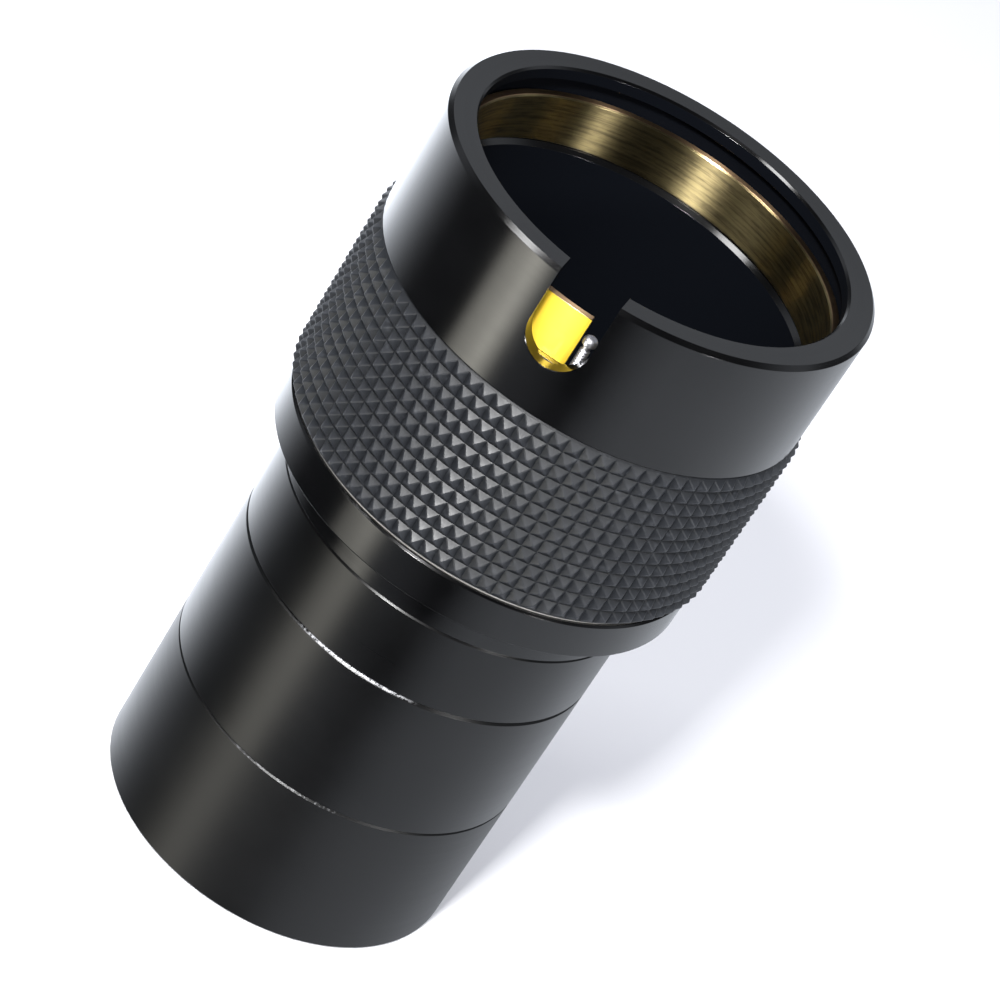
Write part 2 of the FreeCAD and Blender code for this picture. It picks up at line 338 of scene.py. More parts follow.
# %% [markdown]
# The main body is one turned piece: the neck below, the smooth flange, and the long spigot that the sleeve
# turns on. From above only its top ledge and the chamfered mouth of the socket show. A groove round the
# spigot takes the tips of the guide screws.

# %% The main body
groove_z = (bottom_of("guide_screws") + top_of("guide_screws")) / 2
half_groove = (top_of("guide_screws") - bottom_of("guide_screws")) / 2 + 0.1
groove_radius = spigot_radius - 1.1
flange_chamfer = 0.25
mouth_chamfer = 0.8

barrel_body = turned("barrel_body", [
    (female_radius, neck_seam, 0),
    (barrel_radius - FINE_CHAMFER, neck_seam, EDGE / 2),
    (barrel_radius, neck_seam + FINE_CHAMFER, EDGE),
    (barrel_radius, flange_bottom, 0.12),
    (flange_radius - flange_chamfer, flange_bottom, EDGE),
    (flange_radius, flange_bottom + flange_chamfer, EDGE),
    (flange_radius, flange_top - flange_chamfer, EDGE),
    (flange_radius - flange_chamfer, flange_top, EDGE),
    (spigot_radius, flange_top, 0),
    (spigot_radius, groove_z - half_groove, 0),
    (groove_radius, groove_z - half_groove, 0),
    (groove_radius, groove_z + half_groove, 0),
    (spigot_radius, groove_z + half_groove, 0),
    (spigot_radius, ledge_z, EDGE),
    (socket_radius + mouth_chamfer, ledge_z, EDGE),
    (socket_radius, ledge_z - mouth_chamfer, EDGE),
    (socket_radius, socket_floor, EDGE),
    (socket_radius - socket_shoulder, socket_floor, EDGE),
    (socket_radius - socket_shoulder, neck_seam + thread_length, EDGE),
    (female_radius, neck_seam + thread_length, 0),
])

# %% [markdown]
# The twist sleeve is turned, and then a cutter mills the notch down from its rim. A real notch is
# deburred, so the cutter here is wider where it leaves the outside of the sleeve: its side walls follow
# the sleeve's curve, and they open at 45 degrees over the last 0.08 mm.

# %% The twist sleeve and its notch
SLEEVE_AROUND = 512
deburr = 0.08
rim_chamfer = 0.55
lip_chamfer = 0.3
ledge_gap = 0.15


def notch_cutter():
    """A U-shaped cutter on the -Y side, flared where it comes out through the sleeve's outside.

    Its last loop stands well clear, because a flat front just past the side walls would leave a skin across
    the middle of the notch, where the sleeve reaches out furthest.
    """
    half = notch_width / 2
    flare = 2 * deburr
    steps = 40
    path = [(-half, rim_top + 2, -1, 0)]
    for step in range(steps + 1):
        angle = math.pi + math.pi * step / steps
        across, down = math.cos(angle), math.sin(angle)
        path.append((half * across, notch_bottom + half + half * down, across, down))
    path.append((half, rim_top + 2, 1, 0))
    vertices = []
    for x, z, _, _ in path:
        vertices.append((x * MM, -0.6 * socket_radius * MM, z * MM))
    for spread, step_out in ((0, -deburr), (flare, deburr)):
        for x, z, across, down in path:
            wide = x + spread * across
            depth = math.sqrt(sleeve_radius ** 2 - wide ** 2) + step_out
            vertices.append((wide * MM, -depth * MM, (z + spread * down) * MM))
    for x, z, across, down in path:
        vertices.append(((x + flare * across) * MM, -1.3 * sleeve_radius * MM, (z + flare * down) * MM))
    count = len(path)
    ends = [list(range(count)), list(range(4 * count - 1, 3 * count - 1, -1))]
    return tidy_mesh(mesh_object("notch_cutter", vertices, ends + skin(4, count)))


sleeve_shell = turned("sleeve_shell", [
    (sleeve_bore, sleeve_bottom, EDGE),
    (seat_radius, sleeve_bottom, EDGE),
    (seat_radius, seat_top, 0),
    (sleeve_radius, seat_top, EDGE),
    (sleeve_radius, rim_top - rim_chamfer, EDGE),
    (sleeve_radius - rim_chamfer, rim_top, EDGE),
    (lip_radius + lip_chamfer, rim_top, EDGE),
    (lip_radius, rim_top - lip_chamfer, EDGE),
    (lip_radius, lip_bottom, EDGE),
    (recess_radius, lip_bottom, 0),
    (recess_radius, ledge_z + ledge_gap, EDGE),
    (sleeve_bore, ledge_z + ledge_gap, 0),
], SLEEVE_AROUND)
sleeve_shell = cut(sleeve_shell, notch_cutter())
print("sleeve_shell after milling:", len(sleeve_shell.data.polygons), "faces")

# %% [markdown]
# Two kinds of node tree follow: one that makes geometry and several that make finishes. Both are easier to
# read as expressions, so one small class wraps a socket. A plus sign between two wrapped sockets adds a
# Math node, and `add` places any other node with its settings first and its inputs after.

# %% Helper: node trees as expressions


class Signal:
    """One output socket in a node tree, which can be used in sums."""

    def __init__(self, tree, socket):
        self.tree = tree
        self.socket = socket

    def maths(self, operation, *values):
        return add(self.tree, "ShaderNodeMath", {"operation": operation}, dict(enumerate(values)))

    def __add__(self, other):
        return self.maths("ADD", self, other)

    def __sub__(self, other):
        return self.maths("SUBTRACT", self, other)

    def __rsub__(self, other):
        return self.maths("SUBTRACT", other, self)

    def __mul__(self, other):
        return self.maths("MULTIPLY", self, other)

    def __truediv__(self, other):
        return self.maths("DIVIDE", self, other)

    def __rtruediv__(self, other):
        return self.maths("DIVIDE", other, self)

    __radd__ = __add__

    def output(self, name):
        return Signal(self.tree, self.socket.node.outputs[name])


def add(tree, kind, settings=None, inputs=None, output=0):
    """Places a node, sets it, feeds its sockets with values or signals, and returns one of its outputs."""
    node = tree.nodes.new(kind)
    for name, value in (settings or {}).items():
        if name == "stops":
            set_stops(node.color_ramp, value)
        else:
            setattr(node, name, value)
    for name, value in (inputs or {}).items():
        if isinstance(value, Signal):
            tree.links.new(value.socket, node.inputs[name])
        else:
            node.inputs[name].default_value = value
    return Signal(tree, node.outputs[output]) if node.outputs else None


def set_stops(ramp, stops):
    """Fills a colour ramp from (place, grey or colour) pairs."""
    while len(ramp.elements) < len(stops):
        ramp.elements.new(0.5)
    for element, (place, value) in zip(ramp.elements, stops):
        element.position = place
        element.color = (*(value if isinstance(value, tuple) else (value,) * 3), 1)


# %% [markdown]
# The rubber grip is a moulded band of small blunt pyramids, 90 round and 12 high. One pyramid is modelled
# from listed points with its four ridges bevelled, because the bevels are what keep moulded rubber from
# looking like cut metal. Geometry Nodes then set it 1080 times round the band. The band itself is left open
# under the pyramids, so that when the doubles merge the result is one closed skin with nothing hidden
# inside.

# %% One pyramid of the grip
STUDS_AROUND = 90
STUD_ROWS = 12
STUD_TURN = math.radians(0.72)
grip_root = seat_radius + 0.6
grip_margin = 0.25
tip_relief = 0.012
stud_step = 2 * math.pi / STUDS_AROUND
stud_half = grip_root * math.tan(stud_step / 2)
row_pitch = (grip_top - grip_bottom - 2 * grip_margin) / STUD_ROWS


def pyramid():
    """A blunt pyramid on a square base, pointing along -Y, its base centre on the grip's root circle.

    Between the base and the tip stand two eight-sided rings, each with its size and the width of its
    bevelled corners. All are shares of the base.
    """
    height = grip_tip - grip_root - tip_relief
    blunt = 0.90
    foot_ring = (0.90, 0.13)
    tip_ring = (0.17, 0.10)
    corners = [(1, 1), (-1, 1), (-1, -1), (1, -1)]
    points = [(x, z, 0.0) for x, z in corners]
    for size, bevel in (foot_ring, tip_ring):
        for x, z in corners:
            near_x = (x * size, z * (size - bevel))
            near_z = (x * (size - bevel), z * size)
            pair = (near_x, near_z) if x * z > 0 else (near_z, near_x)
            points += [(*point, (1 - size) / blunt) for point in pair]
    tip = len(points)
    points.append((0, 0, 1.0))
    faces = []
    for corner in range(4):
        here, beyond = 4 + 2 * corner, 4 + 2 * ((corner + 1) % 4)
        faces.append([corner, here, here + 1])
        faces.append([corner, here + 1, beyond, (corner + 1) % 4])
        faces.append([here, here + 8, here + 9, here + 1])
        faces.append([here + 1, here + 9, beyond + 8, beyond])
        faces.append([here + 8, tip, here + 9])
        faces.append([here + 9, tip, beyond + 8])
    half_row = row_pitch / 2
    placed = [(x * stud_half, -grip_root - rise * height, z * half_row) for x, z, rise in points]
    return mesh_object("pyramid", [Vector(point) * MM for point in placed], faces)


stud = pyramid()
print(f"pyramid: {len(stud.data.polygons)} faces, {2 * stud_half:.2f} mm wide and {row_pitch:.2f} mm high")

# %% The band that carries the pyramids


def grip_core():
    """The band's ends and inside, 90-sided to match the pyramids and open where they stand."""
    first, last = grip_bottom + grip_margin, grip_top - grip_margin
    inner = seat_radius + 0.02
    eased = 0.22
    profile = [
        (grip_root, first),
        (grip_root, grip_bottom + eased),
        (grip_root - eased, grip_bottom),
        (inner, grip_bottom),
        (inner, grip_top),
        (grip_root - eased, grip_top),
        (grip_root, grip_top - eased),
        (grip_root, last),
    ]
    vertices = []
    for r, z in profile:
        for step in range(STUDS_AROUND):
            angle = STUD_TURN + (step - 0.5) * stud_step
            vertices.append(around_axis(r / math.cos(stud_step / 2), angle, z))
    return mesh_object("grip_band", vertices, skin(len(profile), STUDS_AROUND))


grip_band = grip_core()

# %% [markdown]
# The tree works out each pyramid's place from its number: the remainder after dividing by the rows gives
# the height, and the whole part gives the angle. Its sizes are named inputs, so the nodes themselves hold
# none of the grip's measures.

# %% Geometry Nodes: pyramids round the band


def stud_tree():
    tree = bpy.data.node_groups.new("pyramids_round_band", "GeometryNodeTree")
    face = tree.interface
    face.new_socket("Geometry", in_out="OUTPUT", socket_type="NodeSocketGeometry")
    face.new_socket("Geometry", in_out="INPUT", socket_type="NodeSocketGeometry")
    for name, kind in (("Around", "Int"), ("Rows", "Int"), ("Row Pitch", "Float"), ("First Row", "Float"),
                       ("Turn", "Float"), ("Pyramid", "Object"), ("Finish", "Material")):
        face.new_socket(name, in_out="INPUT", socket_type="NodeSocket" + kind)
    given = add(tree, "NodeGroupInput")
    rows = given.output("Rows")
    number = add(tree, "GeometryNodeInputIndex")
    row = number.maths("MODULO", number, rows)
    column = number.maths("FLOOR", (number + 0.5) / rows)
    angle = column * (2 * math.pi / given.output("Around")) + given.output("Turn")
    height = given.output("First Row") + row * given.output("Row Pitch")
    place = add(tree, "ShaderNodeCombineXYZ", None, {2: height})
    turn = add(tree, "ShaderNodeCombineXYZ", None, {2: angle})
    count = rows * given.output("Around")
    points = add(tree, "GeometryNodePoints", None, {"Count": count, "Position": place})
    shape = add(tree, "GeometryNodeObjectInfo", None, {"Object": given.output("Pyramid")}, "Geometry")
    spread = add(tree, "GeometryNodeInstanceOnPoints", None,
                 {"Points": points, "Instance": shape, "Rotation": turn})
    joined = add(tree, "GeometryNodeJoinGeometry", None, {0: given.output("Geometry")})
    tree.links.new(spread.socket, joined.socket.node.inputs[0])
    solid = add(tree, "GeometryNodeRealizeInstances", None, {0: joined})
    merged = add(tree, "GeometryNodeMergeByDistance", None, {"Geometry": solid, "Distance": 0.01 * MM})
    finished = add(tree, "GeometryNodeSetMaterial", None,
                   {"Geometry": merged, "Material": given.output("Finish")})
    add(tree, "NodeGroupOutput", None, {0: finished})
    return tree


def grown(piece, tree, values):
    """Runs a Geometry Nodes tree on a piece with the given inputs and keeps the plain mesh it makes."""
    modifier = piece.modifiers.new(tree.name, "NODES")
    modifier.node_group = tree
    for item in tree.interface.items_tree:
        if item.in_out == "INPUT" and item.name in values:
            modifier[item.identifier] = values[item.name]
    evaluated = piece.evaluated_get(bpy.context.evaluated_depsgraph_get())
    mesh = bpy.data.meshes.new_from_object(evaluated)
    piece.modifiers.clear()
    piece.data = mesh
    return piece


rubber = bpy.data.materials.new("grip_rubber")
grown(grip_band, stud_tree(), {
    "Around": STUDS_AROUND,
    "Rows": STUD_ROWS,
    "Row Pitch": row_pitch * MM,
    "First Row": (grip_bottom + grip_margin + row_pitch / 2) * MM,
    "Turn": STUD_TURN,
    "Pyramid": stud,
    "Finish": rubber,
})
bpy.data.objects.remove(stud)
tidy_mesh(grip_band)
grip_band.data.shade_flat()
loose_edges = sum(1 for edge in grip_band.data.edges if edge.is_loose)
print(f"grip_band: {len(grip_band.data.polygons)} faces, {loose_edges} loose edges")

# %% [markdown]
# The brass ring clamps the eyepiece. It is a strip of rolled brass, so it has two square ends that stand
# apart in the notch. The saw cuts both ends along the same direction, so each point of the section starts
# and stops at its own angle. A smaller section just past each end gives the sawn faces an eased edge.

# %% The split brass ring
anchor_head = 0.95
anchor_x = notch_width / 2 - 0.17 - anchor_head
ring_left = anchor_x - anchor_head - 0.18
ring_gap = 4.4
ring_right = ring_left + ring_gap
ring_chamfer = 0.25
ring_inner = socket_radius + 0.25
RING_STEPS = 300
END_EASE = 0.07


def split_ring(name, outline):
    section = rounded(outline)
    middle = sum(section, Vector((0, 0))) / len(section)
    small = [point + (middle - point).normalized() * END_EASE for point in section]
    full = [(section, step / RING_STEPS, 1) for step in range(RING_STEPS + 1)]
    layers = [(small, 0, 0)] + full + [(small, 1, 0)]
    vertices = []
    for points, share, pulled in layers:
        for r, z in points:
            start = math.asin((ring_right + pulled * END_EASE) / r)
            end = 2 * math.pi + math.asin((ring_left - pulled * END_EASE) / r)
            vertices.append(around_axis(r, start + (end - start) * share, z))
    count = len(section)
    ends = [list(range(count)), list(range(len(vertices) - count, len(vertices)))]
    piece = tidy_mesh(mesh_object(name, vertices, ends + skin(len(layers), count)))
    print(f"{name}: {len(piece.data.polygons)} faces")
    return piece


brass_ring = split_ring("brass_ring", [
    (ring_inner + ring_chamfer, ledge_z, EDGE),
    (ring_outer, ledge_z, EDGE),
    (ring_outer, ring_top, EDGE),
    (ring_inner + ring_chamfer, ring_top, EDGE),
    (ring_inner, ring_top - ring_chamfer, EDGE),
    (ring_inner, ledge_z + ring_chamfer, EDGE),
])

# %% [markdown]
# The small screw beside the ring's end is turned about its own axis. Its thread is a row of ridges at the
# 0.4 mm pitch of a fine screw, and its domed head has a slot for a jeweller's driver.

# %% The anchor screw
SCREW_AROUND = 64
screw_foot = bottom_of("anchor_screw")
screw_top = top_of("anchor_screw")
screw_circle = socket_radius + 1.0
head_height = 1.2
slot_half = 0.1
slot_depth = 0.2
slot_turn = 0.6


def box_cutter(name, low, high):
    """A box between two corners, in millimetres, used only to cut with."""
    corners = [(x, y, z) for x in (low[0], high[0]) for y in (low[1], high[1]) for z in (low[2], high[2])]
    sides = [(0, 1, 3, 2), (4, 6, 7, 5), (0, 4, 5, 1), (2, 3, 7, 6), (0, 2, 6, 4), (1, 5, 7, 3)]
    return tidy_mesh(mesh_object(name, [Vector(corner) * MM for corner in corners], sides))


def ring_screw_outline():
    head_foot = screw_top - head_height
    pitch, crest, valley = 0.4, 0.7, 0.54
    point_radius, lead_in = 0.45, 0.2
    outline = [(0, screw_foot, 0), (point_radius, screw_foot, EDGE)]
    turns = int((head_foot - screw_foot - 0.5) / pitch)
    for turn in range(turns):
        base = screw_foot + lead_in + turn * pitch
        outline += [(valley, base, 0.02), (crest, base + pitch / 2, 0.03)]
    outline += [(valley, screw_foot + lead_in + turns * pitch, 0.02), (valley, head_foot, 0)]
    dome, dome_steps = 0.75, 8
    dome_foot = screw_top - dome
    outline += [(anchor_head, head_foot, 0.12), (anchor_head, dome_foot, 0)]
    for step in range(1, dome_steps):
        rise = math.pi / 2 * step / dome_steps
        outline.append((anchor_head * math.cos(rise), dome_foot + dome * math.sin(rise), 0))
    outline.append((0, screw_top, 0))
    return outline


ring_screw = turned("ring_screw", ring_screw_outline(), SCREW_AROUND)
slot_low = (-2, -slot_half, screw_top - slot_depth)
slot_high = (2, slot_half, screw_top + 1)
cut(ring_screw, box_cutter("slot", slot_low, slot_high))
anchor_y = -math.sqrt(screw_circle ** 2 - anchor_x ** 2)
anchor_place = Matrix.Translation(Vector((anchor_x, anchor_y, 0)) * MM)
ring_screw.data.transform(anchor_place @ Matrix.Rotation(slot_turn, 4, "Z"))
print("ring_screw:", len(ring_screw.data.polygons), "faces")

# %% [markdown]
# The rest is small turned work: a plastic washer that the sleeve slides on, two light stops with knife
# edges, and the slotted ring that holds the lenses in.

# %% Washer, light stops and lens ring
glide_ring = turned("glide_ring", [
    (sleeve_bore, flange_top, EDGE),
    (washer_radius, flange_top, EDGE),
    (washer_radius, top_of("glide_washer"), EDGE),
    (sleeve_bore, top_of("glide_washer"), EDGE),
])


def light_stop(name, node):
    outer, bottom, top = radius_of(node), bottom_of(node), top_of(node)
    width, knife = 3.2, 0.15
    middle = (bottom + top) / 2
    return turned(name, [
        (outer - width, middle, 0),
        (outer - width / 2, bottom, EDGE),
        (outer, bottom, EDGE),
        (outer, top, EDGE),
        (outer - width / 2, top, EDGE),
        (outer - width, middle + knife, 0),
    ])


lower_stop = light_stop("lower_stop", "lower_baffle")
upper_stop = light_stop("upper_stop", "upper_baffle")

retainer_foot, retainer_top = bottom_of("lens_retainer"), top_of("lens_retainer")
retainer_width = 2.0
spanner_half = 1.0
spanner_ring = turned("spanner_ring", [
    (retainer_radius - retainer_width, retainer_foot, 0.15),
    (retainer_radius, retainer_foot, EDGE),
    (retainer_radius, retainer_top, EDGE),
    (retainer_radius - retainer_width, retainer_top, EDGE),
])
spanner_low = (-30, -spanner_half, retainer_foot - 1)
spanner_high = (30, spanner_half, (retainer_foot + retainer_top) / 2)
cut(spanner_ring, box_cutter("slots", spanner_low, spanner_high))
print("spanner_ring:", len(spanner_ring.data.polygons), "faces")

# %% [markdown]
# A Barlow lens is a negative pair: light that passes it spreads, which stretches the telescope's focal
# length. Each face is part of a sphere, so its outline is worked out from the sphere's radius. The crown is
# hollow on both faces, and the flint's bulging top nests into it across a thin foil spacer.

# %% The two lenses
INNER_CURVE = 95.0
CROWN_CURVE = 130.0
FLINT_CURVE = 260.0
LENS_STEPS = 24
LENS_AROUND = 128
LENS_EDGE = 0.15


def spherical(curve, edge_z, outwards):
    """Outline points of a spherical face. A positive curve bulges up from its edge, a negative one down."""
    points = []
    for step in range(LENS_STEPS + 1):
        r = lens_radius * (step if outwards else LENS_STEPS - step) / LENS_STEPS
        rise = math.sqrt(curve ** 2 - r ** 2) - math.sqrt(curve ** 2 - lens_radius ** 2)
        at_edge = r > lens_radius - 1e-6
        points.append((r, edge_z + math.copysign(rise, curve), LENS_EDGE if at_edge else 0))
    return points


def lens(name, low_curve, low_edge, high_curve, high_edge):
    outline = spherical(low_curve, low_edge, True) + spherical(high_curve, high_edge, False)
    return turned(name, outline, LENS_AROUND)


flint_edge = top_of("flint_lens") - INNER_CURVE + math.sqrt(INNER_CURVE ** 2 - lens_radius ** 2)
crown_glass = lens("crown_glass", INNER_CURVE, bottom_of("crown_lens"), -CROWN_CURVE, top_of("crown_lens"))
flint_glass = lens("flint_glass", FLINT_CURVE, bottom_of("flint_lens"), INNER_CURVE, flint_edge)

# %% [markdown]
# Finishes. Black anodising is a hard dyed skin on aluminium. What the eye reads is the lathe underneath it:
# fine rings that stretch every highlight round the part, and a few smudges that change the gloss. The rings
# follow the distance from the axis and the height, so the same pattern is right on a cylinder, on a flat rim
# and on a chamfer. The three tubes are duller than the body, as if lightly blasted, and two of their seams
# carry a painted glint: pale grey flecks at the front, where the key light catches the chamfer.

# %% Helpers for finishes


def new_finish(material):
    material.use_nodes = True
    tree = material.node_tree
    tree.nodes.clear()
    return tree


def object_place(tree):
    return add(tree, "ShaderNodeTexCoord", None, None, "Object")


def axis_place(tree):
    """Distance from the axis and height, so that a pattern runs round the part in rings."""
    parts = add(tree, "ShaderNodeSeparateXYZ", None, {0: object_place(tree)})
    x, y, z = parts.output("X"), parts.output("Y"), parts.output("Z")
    radius = x.maths("SQRT", x * x + y * y)
    return radius, z, add(tree, "ShaderNodeCombineXYZ", None, {0: radius, 2: z})


def noise(tree, place, scale, detail=3.0, rough=0.55):
    return add(tree, "ShaderNodeTexNoise", None,
               {"Vector": place, "Scale": scale, "Detail": detail, "Roughness": rough})


def smooth_step(tree, value, low, high):
    """0 below low and 1 above high, with a soft change between."""
    return add(tree, "ShaderNodeMapRange", {"interpolation_type": "SMOOTHSTEP"},
               {"Value": value, "From Min": low, "From Max": high})


def blend_colour(tree, share, first, second):
    return add(tree, "ShaderNodeMix", {"data_type": "RGBA"}, {0: share, 6: first, 7: second}, 2)


def colour(red, green, blue):
    return (red, green, blue, 1.0)


def bump(tree, height, depth, below=None):
    """Raises the surface by up to depth, in metres, on top of the bump below."""
    inputs = {"Height": height, "Distance": depth, "Strength": 1.0}
    if below:
        inputs["Normal"] = below
    return add(tree, "ShaderNodeBump", None, inputs)


def finish_with(tree, inputs):
    surface = add(tree, "ShaderNodeBsdfPrincipled", None, inputs)
    add(tree, "ShaderNodeOutputMaterial", None, {"Surface": surface})


# %% Black anodised aluminium
BLACK = colour(0.0006, 0.0006, 0.0007)
BLACK_PALE = colour(0.0016, 0.0016, 0.0018)
# The pale grey of the painted glint on two seams.
GLINT_GREY = colour(0.62, 0.62, 0.64)
RING_RELIEF = 2.2e-6
GLINT_FRONT_START, GLINT_FRONT_FULL = 0.925, 0.99
SEAM_INNER, SEAM_OUTER = 0.06 * MM, 0.24 * MM
ROUND_THE_AXIS = 0.25


def painted_seam_glint(tree, place, radius, z, seam, bare):
    """Painted glint: pale flecks near the front of one seam, where the key light catches its chamfer. A
    higher bare leaves fewer of them.
    """
    front = add(tree, "ShaderNodeSeparateXYZ", None, {0: place}).output("Y") * -1
    glint_front = smooth_step(tree, front / radius, GLINT_FRONT_START, GLINT_FRONT_FULL)
    near = 1 - smooth_step(tree, z.maths("ABSOLUTE", z - seam * MM), SEAM_INNER, SEAM_OUTER)
    speck = noise(tree, place, scale=2600.0, rough=0.7)
    return near * glint_front * smooth_step(tree, speck, bare, bare + 0.12)


def anodised(name, gloss, blast=0.0, seam=None, bare=0.5, glint_strength=0.0):
    """Dyed aluminium. Blast is the depth of a blasted texture, in metres, and seam a height in mm, whose
    front gets a painted glint.
    """
    material = bpy.data.materials.new(name)
    tree = new_finish(material)
    radius, z, rings = axis_place(tree)
    place = object_place(tree)
    lathe = noise(tree, rings, scale=3600.0, detail=2.0)
    smudge = noise(tree, place, scale=55.0, detail=5.0)
    shade = blend_colour(tree, smooth_step(tree, smudge, 0.35, 0.7), BLACK, BLACK_PALE)
    rough = gloss + (smudge - 0.5) * 0.10 + (lathe - 0.5) * 0.06
    if seam is not None:
        # Painted glint: pale flecks at the front of the seam stand for the key light caught on its chamfer.
        flecks = painted_seam_glint(tree, place, radius, z, seam, bare)
        shade = blend_colour(tree, flecks * glint_strength, shade, GLINT_GREY)
    height = bump(tree, lathe, RING_RELIEF)
    if blast:
        height = bump(tree, noise(tree, place, scale=5200.0, detail=2.0), blast, height)
    finish_with(tree, {"Base Color": shade, "Roughness": rough, "Normal": height, "IOR": 1.5,
                       "Specular IOR Level": 0.4 if blast else 0.5,
                       "Anisotropic": 0.5, "Anisotropic Rotation": ROUND_THE_AXIS})
    return material


sleeve_black = anodised("sleeve_black", 0.17)
body_black = anodised("body_black", 0.17)
upper_black = anodised("upper_black", 0.30, blast=2e-6)
middle_black = anodised("middle_black", 0.34, blast=3e-6, seam=middle_seam - 0.25, bare=0.42, glint_strength=0.9)
cell_black = anodised("cell_black", 0.43, blast=4e-6, seam=cell_seam - 0.15, bare=0.5, glint_strength=0.25)

# %% [markdown]
# Inside, a telescope part must swallow stray light, so the bores are sprayed with a matt black. It is a
# dead, slightly blue black with almost no shine, and a fine tooth from the spray.

# %% Matt black for the bores


def matt_black():
    material = bpy.data.materials.new("bore_black")
    tree = new_finish(material)
    spray = noise(tree, object_place(tree), scale=3000.0)
    shade = blend_colour(tree, spray, colour(0.0012, 0.0017, 0.0031), colour(0.0018, 0.0025, 0.0042))
    finish_with(tree, {"Base Color": shade,
                       "Roughness": 0.85 + (spray - 0.5) * 0.1, "Specular IOR Level": 0.05,
                       "Normal": bump(tree, spray, 4e-6)})
    return material


FACING_AXIS = -0.9


def line_bore(piece, material, limit, top):
    """Gives a second material to the faces below a height that look at the axis or lie near it."""
    piece.data.materials.append(material)
    for face in piece.data.polygons:
        place = face.center.xy
        inward = face.normal.xy.dot(place) < FACING_AXIS * place.length
        inside = face.center.z < top * MM and (inward or place.length < limit * MM)
        face.material_index = 1 if inside else 0


inside_black = matt_black()

# %% [markdown]
# Moulded rubber is not one grey. Its skin is faintly grainy and a thin cloud of dust lies on it. Its grey
# is a painted shade, darker in the valleys, and a painted highlight, paler at the tips, and the tips are
# also a little smoother. The distance from the axis tells them apart.

# %% Grip rubber


def rubber_finish(material):
    tree = new_finish(material)
    radius, _, _ = axis_place(tree)
    place = object_place(tree)
    up = smooth_step(tree, radius, grip_root * MM, grip_tip * MM)
    dust = noise(tree, place, scale=900.0, detail=4.0)
    grain = noise(tree, place, scale=4200.0)
    # Painted shade and highlight: a darker grey in the valleys and a paler grey at the tips.
    shade = blend_colour(tree, up, colour(0.0048, 0.0058, 0.0078), colour(0.0150, 0.0166, 0.0200))
    shade = blend_colour(tree, smooth_step(tree, dust, 0.56, 0.75) * 0.4, shade, colour(0.040, 0.043, 0.050))
    rough = 0.48 - up * 0.06 + (dust - 0.5) * 0.2
    finish_with(tree, {"Base Color": shade, "Roughness": rough, "Normal": bump(tree, grain, 2.2e-5),
                       "IOR": 1.5, "Specular IOR Level": 0.42})


rubber_finish(rubber)

# %% [markdown]
# The ring's outside is left as rolled, a warm satin yellow. Its bore is rubbed by every eyepiece that goes
# in, so it is bare metal with fine rings round it, browner where it tarnishes. Its top is a redder brown.

# %% Brass


def brass_finish():
    material = bpy.data.materials.new("ring_brass")
    tree = new_finish(material)
    radius, z, rings = axis_place(tree)
    outside = smooth_step(tree, radius, (ring_outer - 0.12) * MM, (ring_outer - 0.04) * MM)
    lathe = noise(tree, rings, scale=2800.0, detail=4.0, rough=0.75)
    flattened = add(tree, "ShaderNodeVectorMath", {"operation": "MULTIPLY"},
                    {0: object_place(tree), 1: (1, 1, 7)})
    stain = noise(tree, flattened, scale=260.0, detail=5.0, rough=0.65)
    tarnish = smooth_step(tree, stain + (lathe - 0.5) * 1.1, 0.34, 0.76)
    shade = blend_colour(tree, tarnish, colour(0.46, 0.37, 0.18), colour(0.20, 0.16, 0.085))
    top = smooth_step(tree, z, (ring_top - 0.12) * MM, (ring_top - 0.02) * MM)
    shade = blend_colour(tree, top * 0.6, shade, colour(0.45, 0.26, 0.17))
    outside = outside * (1 - top)
    shade = blend_colour(tree, outside, shade, colour(0.98, 0.66, 0.05))
    rough = 0.29 + (lathe - 0.5) * 0.08
    finish_with(tree, {"Base Color": shade, "Roughness": rough, "Metallic": 1 - outside * 0.5,
                       "Normal": bump(tree, lathe, 2.6e-5),
                       "Anisotropic": 1.0, "Anisotropic Rotation": ROUND_THE_AXIS})
    return material


brass = brass_finish()

# %% Screws, washer, seal and foil


def plain_finish(name, first, second, rough, metal=0.0, scale=400.0, depth=2e-6):
    """Two close colours in a fine cloud, with the same cloud in the gloss and the relief."""
    material = bpy.data.materials.new(name)
    tree = new_finish(material)
    cloud = noise(tree, object_place(tree), scale, detail=4.0)
    shade = blend_colour(tree, smooth_step(tree, cloud, 0.35, 0.65), first, second)
    finish_with(tree, {"Base Color": shade,
                       "Roughness": rough + (cloud - 0.5) * 0.12, "Metallic": metal, "IOR": 1.5,
                       "Normal": bump(tree, cloud, depth)})
    return material


steel = plain_finish("screw_steel", colour(0.78, 0.78, 0.82), colour(0.60, 0.60, 0.64), 0.38,
                     metal=1.0, scale=1500.0)
dark_steel = plain_finish("set_screw_steel", colour(0.03, 0.03, 0.032), colour(0.05, 0.05, 0.05), 0.4,
                          metal=0.8, scale=1500.0)
acetal = plain_finish("washer_plastic", colour(0.62, 0.6, 0.55), colour(0.54, 0.52, 0.47), 0.45)
seal = plain_finish("seal_rubber", colour(0.012, 0.012, 0.013), colour(0.02, 0.02, 0.021), 0.7,
                    scale=800.0, depth=6e-6)
foil = plain_finish("foil_metal", colour(0.78, 0.78, 0.8), colour(0.68, 0.68, 0.7), 0.2,
                    metal=1.0, scale=900.0)

# %% [markdown]
# The lenses are clear glass with a thin coating. Clear glass shows by what it bends and by the faint green
# bloom of its coating, which a weak coloured coat gives. A trace of dust changes the coat over the surface.

# %% Coated glass


